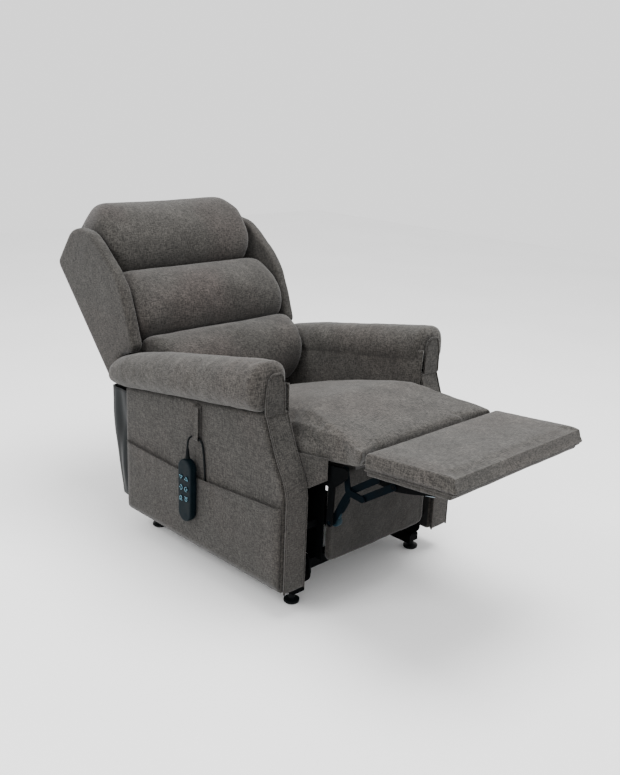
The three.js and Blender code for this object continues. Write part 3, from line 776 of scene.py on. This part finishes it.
# ---- seat cushion
def make_seat():
    """The seat cushion: blown up between its seams, creased beside the arms, square at the front."""
    seat = soft_copy("seat_cover", "seat_cushion", LIT_TOP_CLOTH, 0.0065, 3, "seat_carriage")
    low, high = corners("seat_cushion")

    def sewn(point):
        at_back, at_front = point.y > high.y - 0.03, point.y < low.y + 0.004
        return point.z < seat_underside(point.y) + 0.010 or at_back or at_front

    move_points(seat, lambda point, normal: point - normal * 0.003)
    puff(seat, 4.0, 0.020, held=sewn, slack=0.004, calm=6)
    move_points(seat, lambda point, normal: point - Vector((0, 0, 0.010 * max(0.0, normal.z) ** 2)))
    corner = Vector((low.x + 0.01, low.y + 0.165, 0.455))  # beside the arm's front, where creases start
    front_half, front_top = 0.2600, 0.4915

    def wrinkle(point, normal):
        """Broad dips on top, and creases that spread from beside each arm front."""
        up = max(0.0, normal.z)
        swell = 0.0030 * ripple(point, 0.16, 11) * up
        for side in (-1, 1):
            away = Vector((point.x + side * corner.x, point.y - corner.y, 0))
            spread = Vector((math.atan2(away.y, away.x) * 0.3, away.length * 0.5, side))
            swell += 0.0042 * math.exp(-away.length / 0.13) * ripple(spread, 0.085, 12)
        return swell + 0.0012 * up * ripple(Vector((point.x * 0.7, point.y * 2.4, 0)), 0.07, 13)

    def widest(y):
        """How far out the cushion may reach: between the arms, beside their fronts, and past them."""
        if y > -0.236:
            return 0.2445
        return 0.2515 if y > -0.318 else 0.2610

    def square_front(moved, normal):
        """Fills out the front edge and its corners, level with the footrest."""
        square = math.exp(-max(0.0, moved.y - low.y) / 0.035)
        if moved.y > low.y + 0.002 and moved.z > 0.44:
            moved.z += (front_top - moved.z) * square * clamp(1.6 * normal.z)
            outward = clamp(1.6 * abs(normal.x)) * square
            moved.x += (math.copysign(front_half, moved.x) - moved.x) * outward
            moved.y += (low.y + 0.001 - moved.y) * outward * clamp(-1.6 * normal.y)
        return moved

    def dress(point, normal):
        nose = clamp((point.y - low.y) / 0.05)
        moved = point + normal * wrinkle(point, normal) * nose
        if abs(moved.x) < 0.236 and moved.y > low.y + 0.07:
            moved.z = max(moved.z, seat_underside(moved.y) + 0.0002)
        moved.x = clamp(moved.x, -widest(moved.y), widest(moved.y))
        moved.y = max(moved.y, low.y - 0.0010)
        crown, blend = 0.4945 + 0.13 * (moved.y - low.y), 0.004
        moved.z = crown - blend * math.log1p(math.exp((crown - moved.z) / blend))
        return square_front(moved, normal)

    move_points(seat, dress)
    modify(seat, "SUBSURF", levels=1, render_levels=1)
    settle(seat)
    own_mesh(seat)


make_seat()


# ---- footrest
FOOT_FRAME = Matrix.Translation((0, -0.493, 0.492)) @ Matrix.Rotation(math.radians(-4.94), 4, "X")
FOOT_LENGTH, FOOT_HALF, FOOT_PAD = 0.265, 0.258, 0.038
FOOT_EDGE, FOOT_CORNER = 0.04, 0.007  # how far in the pad's edge is made flat, and how round it stays


def make_footrest():
    """The footrest: a flat pad with crisp edges, a welt, and the covered board under it."""
    to_local = FOOT_FRAME.inverted()
    pad = soft_copy("footrest_cover", "footrest_pad", LIT_TOP_CLOTH, 0.004, 1, "footrest")
    puff(pad, 4.0, 0.0025, held=lambda point: (to_local @ point).z < -FOOT_PAD + 0.006, slack=0.0, calm=1)

    def dress(point, normal):
        p = to_local @ point
        if p.z < -FOOT_PAD + 0.004:
            p.z = max(p.z, -FOOT_PAD)
        inward = min(-p.y, FOOT_LENGTH + p.y, FOOT_HALF - abs(p.x))
        if p.z > -0.02 and inward > 0:
            near_edge = clamp(1 - inward / FOOT_EDGE) * clamp(inward / FOOT_CORNER)
            p.z += (0.0005 - p.z) * near_edge * clamp(1.6 * normal.z)
        p.y = min(p.y, 0.001)
        swell = 0.0016 * ripple(point, 0.10, 14) + 0.0006 * ripple(point, 0.03, 15)
        return FOOT_FRAME @ p + normal * max(0.0, normal.z) * swell

    move_points(pad, dress)
    modify(pad, "SUBSURF", levels=1, render_levels=1)

    base = soft_copy("footrest_border", "footrest_base", SIDE_CLOTH, 0.004, 2, "footrest")
    move_points(base, lambda point, normal: point + normal * 0.0010 * ripple(point, 0.05, 16))
    # Faces turned down get the near-black lining: painted shade.
    base.data.materials.append(BLACK_LINING_PAINTED_SHADE)
    for face in base.data.polygons:
        if face.normal.z < -0.8:
            face.material_index = 1

    half, front = FOOT_HALF - 0.0015, -FOOT_LENGTH + 0.010
    outline = rounded([(-half, -0.002), (-half, front, 0.012), (half, front, 0.012), (half, -0.002)])
    line = [FOOT_FRAME @ Vector((p.x, p.y, -FOOT_PAD - 0.001)) for p in outline]
    tube("footrest_welt", line, 0.0026, SHADED_WELT_CLOTH, "footrest")


make_footrest()


# ---- back
BACK_FRAME = Matrix.Translation((0, 0.4665, 0.430)) @ Matrix.Rotation(math.radians(48), 4, "X")


def back_box(node):
    """A CAD node's box in the back's own frame: y up the back, z forward out of it."""
    turned = [BACK_FRAME.inverted() @ vertex.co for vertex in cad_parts[node].data.vertices]
    low = Vector([min(point[k] for point in turned) for k in range(3)])
    high = Vector([max(point[k] for point in turned) for k in range(3)])
    return low, high


def make_back_cushion(name, node, widths, inset, reach, keep, swell, full, seed):
    """A fibre-filled pillow between the wings.

    Its ends are drawn in over reach, to the keep share of its depth. It is filled out by full, a height up
    the back and a depth, and then blown up by swell.
    """
    piece = soft_copy(name, node, BACK_CLOTH, 0.006, 6, "backrest")
    to_local = BACK_FRAME.inverted()
    low, high = back_box(node)
    mid, core = (low.y + high.y) / 2, 0.10  # behind the core's face the pillow keeps its shape

    def half_width(up):
        """The pillow's half width at a height up the back, from its (height, half width) points."""
        return interpolate(widths, up) - inset

    def draw_in(point, normal):
        p = to_local @ point
        half = half_width(p.y)
        p.x *= half / high.x
        depth = clamp((abs(p.x) - half + reach) / reach)
        share = keep + (1 - keep) * math.sqrt(1 - depth ** 2)
        narrow = 0.5 if p.y > mid else 0.2
        p.y = mid + (p.y - mid) * (1 - narrow + narrow * share)
        p.z = core + (p.z - core) * share if p.z > core else p.z
        filled = full[1] * math.exp(-((p.y - full[0]) / 0.06) ** 2) - 0.004
        p.z += filled * clamp((p.z - core) / 0.08)
        return BACK_FRAME @ p

    move_points(piece, draw_in)
    top_seam = high.y - 0.012

    def held(point):
        p = to_local @ point
        return p.z < core + 0.010 or p.y > top_seam

    puff(piece, 4.0, swell, held=held, slack=0.004, calm=8)

    def dress(point, normal):
        p = to_local @ point
        front = clamp((p.z - 0.11) / 0.05)
        ends = math.exp(-max(0.0, half_width(p.y) - abs(p.x)) / 0.055)
        seam = math.exp(-min(abs(p.y - low.y), abs(high.y - p.y)) / 0.035)
        pucker = 0.0024 * ends * ripple(Vector((p.x * 0.6, p.y, p.z)), 0.045, seed)
        pucker += 0.0010 * seam * ripple(Vector((p.x, p.y * 0.25, 0)), 0.05, seed + 1)
        p = to_local @ (point + normal * front * (pucker + 0.0024 * ripple(point, 0.15, seed + 2)))
        p.y = clamp(p.y, low.y + 0.0008, high.y - 0.0008)
        limit = min(WING_INNER - 0.0015, half_width(p.y) + inset + 0.004)
        limit = min(limit, roll_inner_face(BACK_FRAME @ p))
        p.x = clamp(p.x, -limit, limit)
        return BACK_FRAME @ p

    move_points(piece, dress)
    modify(piece, "SUBSURF", levels=1, render_levels=1)
    return piece


WING_INNER = back_box("outer_back")[1].x + 0.001


def roll_inner_face(point):
    """How far out a cushion may reach beside or above the arm rolls."""
    top, seam = roll_top(point.y), seam_height(point.y)
    rise = max(0.0, (point.z - (top + seam) / 2) / ((top - seam) / 2))
    if rise >= 1:
        return WING_INNER
    centre, half = (ROLL_LOW.x + ROLL_HIGH.x) / 2, (ROLL_HIGH.x - ROLL_LOW.x) / 2
    return centre - half * (1 - rise ** 2.6) ** (1 / 2.6) - 0.0015


def make_back():
    """Three pillows, each with its (height, half width) points, then the wings and the outer back."""
    head = [(0.273, 0.252), (0.330, 0.271), (0.430, 0.271), (0.516, 0.240)]
    middle_part = [(0.054, 0.276), (0.110, 0.277), (0.200, 0.275), (0.270, 0.263)]
    lumbar = [(-0.163, 0.225), (-0.130, 0.238), (-0.060, 0.246), (-0.020, 0.264), (0.051, 0.275)]
    make_back_cushion("head_pillow", "head_cushion", head, inset=0.002, reach=0.048, keep=0.80, swell=0.022,
                      full=(0.36, 0.004), seed=20)
    make_back_cushion("middle_pillow", "middle_cushion", middle_part, inset=0.003, reach=0.042, keep=0.88,
                      swell=0.022, full=(0.12, 0.006), seed=24)
    low_pillow = make_back_cushion("lumbar_pillow", "lumbar_cushion", lumbar, inset=0.004, reach=0.036,
                                   keep=0.94, swell=0.024, full=(-0.085, 0.026), seed=28)
    settle(low_pillow)
    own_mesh(low_pillow)
    for word, side in SIDES:
        wing = soft_copy(f"wing_cover_{word}", f"back_wing_{word}", SIDE_CLOTH, 0.005, 5,
                         "backrest")

        def pad_out(point, normal):
            front = clamp(((BACK_FRAME.inverted() @ point).z - 0.03) / 0.12)
            swell = 0.0016 * ripple(point, 0.10, 32) + 0.0007 * ripple(point, 0.03, 33)
            return point + normal * front * swell

        move_points(wing, pad_out)

    shell = soft_copy("outer_back_cover", "outer_back", SIDE_CLOTH, 0.005, 2, "backrest")
    move_points(shell, lambda point, normal: point + normal * 0.0014 * ripple(point, 0.12, 34))


make_back()


# ---- rear valance
def make_valance():
    """Lining cloth that hangs under the back and wraps round both sides to the arms."""
    low, high = corners("rear_valance")
    top = high.z + 0.012
    profile = [(low.z, 0.4535), (0.181, 0.4775), (0.276, 0.4875), (0.371, 0.4905), (top, high.y)]
    start, turn = ARM_HIGH.y + 0.006, 0.018
    half, depth = high.x - 0.002, high.y - start
    total = 2 * (half + depth)
    across, up, thick = 260, 48, 0.0012

    def path(run):
        """The point and outward direction at a distance along the cloth, from one arm to the other."""
        if run < depth - turn:
            return -half, start + run, Vector((-1, 0, 0))
        if run > total - depth + turn:
            return half, start + total - run, Vector((1, 0, 0))
        x = clamp(run - depth - half, -half, half)
        corner = max(0.0, abs(run - depth - half) - (half - turn))
        y = high.y - corner ** 2 / (4 * turn)
        x -= math.copysign(min(corner, turn) ** 2 / (4 * turn), x)
        return x, y, Vector((math.copysign(corner, x), 2 * turn - corner, 0)).normalized()

    def place_point(layer, i, j):
        down, run = j / up, total * i / across
        z = top - (top - low.z) * down
        x, y, out = path(run)
        y += (interpolate(profile, z) - high.y) * clamp((y - start) / depth)
        loose = 0.25 + 0.75 * math.sin(math.pi * down)
        fold = ripple(Vector((run, 0, z * 0.12)), 0.030, 40) * 0.011 * loose
        fold += ripple(Vector((run * 0.6, 0, z)), 0.09, 41) * 0.003
        return Vector((x, y, z)) + out * (min(fold, 0.006) - 0.002 - thick * layer)

    drape = double_sheet("rear_drape", across, up, place_point, LINING, flipped=False)
    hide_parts("rear_valance")
    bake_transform(drape)


make_valance()


# ---- steelwork, motors and small hardware
FINISH = {
    BLACK_STEEL: ["base_frame", "side_frame", "seat_frame", "back_frame", "lift_arm_rear", "footrest_frame"],
    BLACK_PLASTIC: ["lift_motor_body", "recline_motor_body", "control_box", "power_inlet", "cord_gland"],
    ZINC: ["lift_motor_rod", "recline_motor_rod"],
    PLYWOOD: ["seat_deck"],
    BLUE_STEEL: [],
}
for word, _ in SIDES:
    FINISH[BLACK_STEEL] += [f"lift_link_front_{word}", f"footrest_drive_link_{word}"]
    FINISH[BLUE_STEEL] += [f"footrest_{part}_{word}" for part in ("crank", "long_link", "curved_link")]
    FINISH[BLACK_PLASTIC] += [f"glide_foot_{row}_{word}" for row in ("front", "rear")]


def finish_frame_nodes():
    for material, nodes in FINISH.items():
        for shown in (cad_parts[node] for node in nodes):
            for slot in shown.material_slots:
                slot.material = material
            modify(shown, "BEVEL", width=0.0006, segments=2, limit_method="ANGLE",
                   angle_limit=math.radians(40))


def rivet(name, x, y, z, side, body):
    """A domed rivet head on the face of a link; side says which way it looks."""
    radius = 0.0065
    profile = [(0.0, radius * 1.25), (0.0008, radius * 1.25), (0.0010, radius), (0.0020, radius * 0.92),
               (0.0030, radius * 0.66), (0.0034, radius * 0.25)]
    outward = [(side * along, wide) for along, wide in profile]
    lathe(name, outward, (x, y, z), BLUE_STEEL, body)


PIVOTS = {  # (y, z), distance from the middle, body
    "knee": ((-0.424, 0.364), 0.2180, "footrest_long_links"),
    "toe": ((-0.508, 0.422), 0.2120, "footrest"),
    "elbow": ((-0.469, 0.360), 0.2180, "footrest_curved_links"),
    "tip": ((-0.557, 0.420), 0.2120, "footrest"),
    "lower": ((-0.376, 0.381), 0.2300, "footrest_drive_links"),
}
LINK_HEEL = (-0.372, 0.265)  # where the long link meets the drive link


def spring(name, start, end, body):
    """An extension spring: a helix with a straight hook at each end."""
    radius, wire, turns, steps = 0.0052, 0.0009, 13, 14
    axis = end - start
    side = axis.cross(Vector((1, 0, 0))).normalized()
    other = axis.normalized().cross(side)
    points = [start]
    for k in range(turns * steps + 1):
        angle = 2 * math.pi * k / steps
        along = 0.14 + 0.72 * k / (turns * steps)
        points.append(start + axis * along + (side * math.cos(angle) + other * math.sin(angle)) * radius)
    points.append(end)
    tube(name, points, wire, ZINC, body)


def link_sleeve(word, side):
    """A moulded sleeve round the lower part of the long link, with a paler collar at its foot."""
    heel, knee = Vector(LINK_HEEL), Vector(PIVOTS["knee"][0])
    along, reach = (knee - heel).normalized(), (knee - heel).length
    thick, x_mid = 0.0055, side * 0.2165
    rings, count = 6, 16
    for label, start, end, wide, material in (("collar", 0.16, 0.34, 0.0115, BUSH_PLASTIC),
                                              ("sleeve", 0.34, 0.80, 0.0125, BLUE_STEEL)):
        points = []
        for k in range(rings + 1):
            share = k / rings
            edge = 1 - 0.22 * (2 * share - 1) ** 6
            at = heel + along * reach * (start + (end - start) * share)
            for i in range(count):
                angle = 2 * math.pi * i / count
                off = Vector((-along.y, along.x)) * math.cos(angle) * wide * edge
                points.append(Vector((x_mid + math.sin(angle) * thick * edge, at.x + off.x, at.y + off.y)))
        piece = mesh_piece(f"link_{label}_{word}", points, ring_faces(rings + 1, count), material)
        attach(piece, "footrest_long_links")


def make_hardware():
    for word, side in SIDES:
        for pivot, ((y, z), x, body) in PIVOTS.items():
            rivet(f"rivet_{pivot}_{word}", side * x, y, z, -side, body)
        half, rim = 0.0085, 0.0065
        bush = [(-half, half), (-half, half + 0.005), (-rim, half + rim), (rim, half + rim),
                (half, half + 0.005), (half, half)]
        lathe(f"coupling_bush_{word}", bush, (side * 0.2083, *LINK_HEEL), BUSH_PLASTIC,
              "footrest_long_links")
        link_sleeve(word, side)
        hook, anchor = Vector((side * 0.205, -0.612, 0.424)), Vector((side * 0.205, -0.672, 0.434))
        spring(f"footrest_spring_{word}", hook, anchor, "footrest")


finish_frame_nodes()
make_hardware()


# ---- handset
def make_handset():
    """A slab with round ends, built up in layers from its back to its face."""
    low, high = corners("handset_case")
    half, depth = (high.y - low.y) / 2, (high.x - low.x) / 2
    centre = middle("handset_case")
    ends = (low.z + half, high.z - half)
    layers = [(-1.0, -9.0), (-1.0, -3.4), (-0.95, -1.7), (-0.84, -0.5), (-0.62, 0.0), (0.45, 0.0),
              (0.62, -0.4), (0.84, -1.6), (0.97, -4.0), (1.0, -8.0)]
    steps = 20
    points = []
    for across, grow in layers:
        radius = half + grow * MM
        for end, first in ((ends[1], 0.0), (ends[0], math.pi)):
            for k in range(steps + 1):
                angle = first + math.pi * k / steps
                waist = 1 - 0.05 * math.exp(-((end - low.z) / 0.06) ** 2)
                points.append(Vector((centre.x + across * depth, centre.y + radius * waist * math.cos(angle),
                                      end + radius * math.sin(angle))))
    case = mesh_piece("handset_shell", points, ring_faces(len(layers), 2 * (steps + 1)), HANDSET_PLASTIC)
    modify(case, "SUBSURF", levels=1, render_levels=1)
    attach(case, "handset")
    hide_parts("handset_case")


def arrow(up):
    """Each symbol is a list of strokes, and a stroke a list of (across, up) points."""
    sign = 1 if up else -1
    return [[(-4.6, -2.6 * sign), (0, 3.6 * sign), (4.6, -2.6 * sign), (-4.6, -2.6 * sign)]]


def arc(flip):
    sign = -1 if flip else 1
    angles = [math.radians(degrees) for degrees in range(70, 291, 20)]
    bow = [(sign * 4.2 * math.cos(angle), 4.6 * math.sin(angle)) for angle in angles]
    return [bow, [(sign * 1.2, -1.8), (sign * 3.8, 0), (sign * 1.2, 1.8)]]


def memory(up):
    ring = [(3.0 * math.cos(a * math.pi / 6), 3.4 * math.sin(a * math.pi / 6)) for a in range(13)]
    return [ring, [(-4.4, 4.8), (4.4, 4.8)] if up else [(-4.4, -4.8), (4.4, -4.8)]]


ICONS = {"lift": arrow, "recline": arc, "memory": memory}
ICON_SCALE = 1.45 * MM


def make_icons():
    for kind, draw in ICONS.items():
        for word in ("up", "down"):
            node = f"handset_button_{kind}_{word}"
            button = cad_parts[node]
            button.material_slots[0].material = BUTTON_RUBBER
            modify(button, "BEVEL", width=0.0006, segments=2, limit_method="ANGLE")
            face, centre = corners(node)[0].x - 0.00055, middle(node)
            for number, stroke in enumerate(draw(word == "up")):
                line = [Vector((face, centre.y + across * ICON_SCALE, centre.z + up * ICON_SCALE))
                        for across, up in stroke]
                tube(f"icon_{kind}_{word}_{number}", line, 0.0006, GLOWING_ICON_PRINT, f"button_{kind}_{word}")


make_handset()
make_icons()


# ---- floor and light
def make_stage():
    outline = [(-6, -6, 0), (6, -6, 0), (6, 6, 0), (-6, 6, 0)]
    floor = mesh_piece("floor", outline, [(0, 1, 2, 3)], floor_paper())
    world = bpy.data.worlds.new("studio")
    world.use_nodes = True
    backdrop = world.node_tree.nodes["Background"]
    backdrop.inputs["Color"].default_value = (1.0, 1.0, 1.0, 1)
    backdrop.inputs["Strength"].default_value = 1.5
    bpy.context.scene.world = world


def soft_light(name, place_at, aim, size, power):
    data = bpy.data.lights.new(name, "AREA")
    data.shape = "DISK"
    data.size = size
    data.energy = power
    lamp = bpy.data.objects.new(name, data)
    bpy.context.scene.collection.objects.link(lamp)
    lamp.location = place_at
    lamp.rotation_euler = (Vector(aim) - Vector(place_at)).to_track_quat("-Z", "Y").to_euler()


make_stage()
soft_light("key", (-3.2, 0.4, 3.0), (0, 0, 0.4), 1.6, 90)
soft_light("top", (0.4, -0.4, 3.6), (0, 0, 0.4), 2.4, 170)
